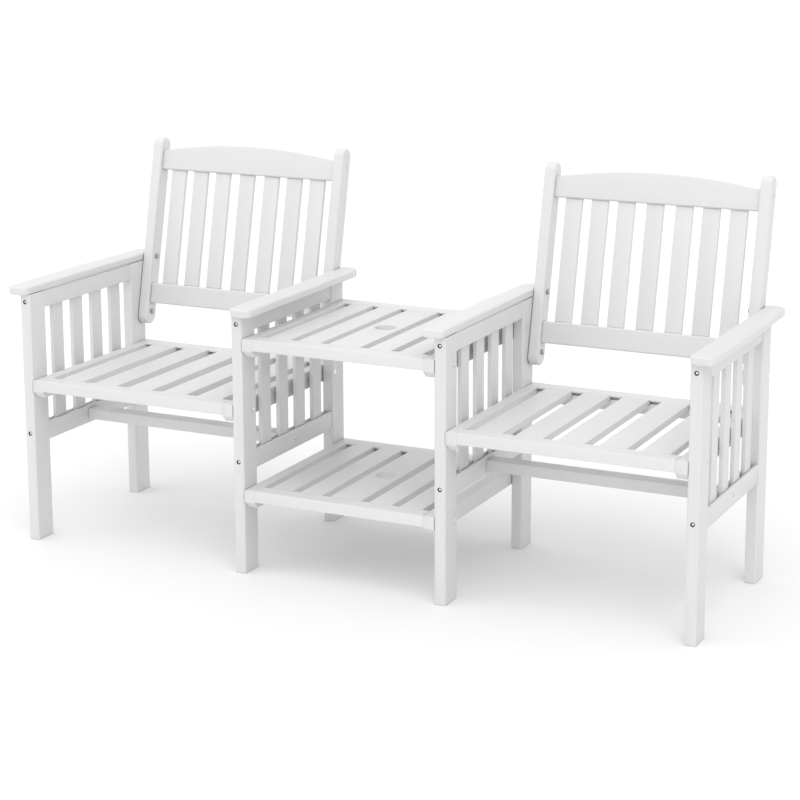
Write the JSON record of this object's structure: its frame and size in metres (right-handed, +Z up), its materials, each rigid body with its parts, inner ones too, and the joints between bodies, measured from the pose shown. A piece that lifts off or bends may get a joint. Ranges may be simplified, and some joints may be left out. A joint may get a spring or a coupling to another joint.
{
  "type": "companion seat bench",
  "caption": "Slatted companion seat: chairs with arched backs and flat armrests, joined by a tiered slatted table bored for a parasol pole.",
  "frame": {"origin": "on the floor, in the middle of the overall width and depth", "axes": "+X along the bench towards the chair on the sitter's left, +Y towards the backrests, +Z up"},
  "size_m": [1.609, 0.5636, 0.846],
  "materials": {
    "painted_wood": "satin white paint on planed softwood",
    "steel": "zinc-plated steel"
  },
  "bodies": {
    "root": {"back_bolts": "steel", "back_nuts": "steel", "left_back_bottom_rail": "painted_wood", "left_back_left_stile": "painted_wood", "left_back_right_stile": "painted_wood", "left_back_slats": "painted_wood", "left_back_top_rail": "painted_wood", "left_end_armrest": "painted_wood", "left_end_front_leg": "painted_wood", "left_end_lower_rail": "painted_wood", "left_end_rear_leg": "painted_wood", "left_end_side_slats": "painted_wood", "left_end_upper_rail": "painted_wood", "left_inner_armrest": "painted_wood", "left_inner_front_leg": "painted_wood", "left_inner_lower_rail": "painted_wood", "left_inner_rear_leg": "painted_wood", "left_inner_side_slats": "painted_wood", "left_inner_upper_rail": "painted_wood", "left_seat_front_rail": "painted_wood", "left_seat_left_rail": "painted_wood", "left_seat_rear_rail": "painted_wood", "left_seat_right_rail": "painted_wood", "left_seat_slats": "painted_wood", "leg_screws": "steel", "lower_shelf_front_rail": "painted_wood", "lower_shelf_left_rail": "painted_wood", "lower_shelf_rear_rail": "painted_wood", "lower_shelf_right_rail": "painted_wood", "lower_shelf_slats": "painted_wood", "rail_screws": "steel", "right_back_bottom_rail": "painted_wood", "right_back_left_stile": "painted_wood", "right_back_right_stile": "painted_wood", "right_back_slats": "painted_wood", "right_back_top_rail": "painted_wood", "right_end_armrest": "painted_wood", "right_end_front_leg": "painted_wood", "right_end_lower_rail": "painted_wood", "right_end_rear_leg": "painted_wood", "right_end_side_slats": "painted_wood", "right_end_upper_rail": "painted_wood", "right_inner_armrest": "painted_wood", "right_inner_front_leg": "painted_wood", "right_inner_lower_rail": "painted_wood", "right_inner_rear_leg": "painted_wood", "right_inner_side_slats": "painted_wood", "right_inner_upper_rail": "painted_wood", "right_seat_front_rail": "painted_wood", "right_seat_left_rail": "painted_wood", "right_seat_rear_rail": "painted_wood", "right_seat_right_rail": "painted_wood", "right_seat_slats": "painted_wood", "seat_stretchers": "painted_wood", "umbrella_slats": "painted_wood", "upper_shelf_front_rail": "painted_wood", "upper_shelf_left_rail": "painted_wood", "upper_shelf_rear_rail": "painted_wood", "upper_shelf_right_rail": "painted_wood", "upper_shelf_slats": "painted_wood"}
  },
  "joints": []
}
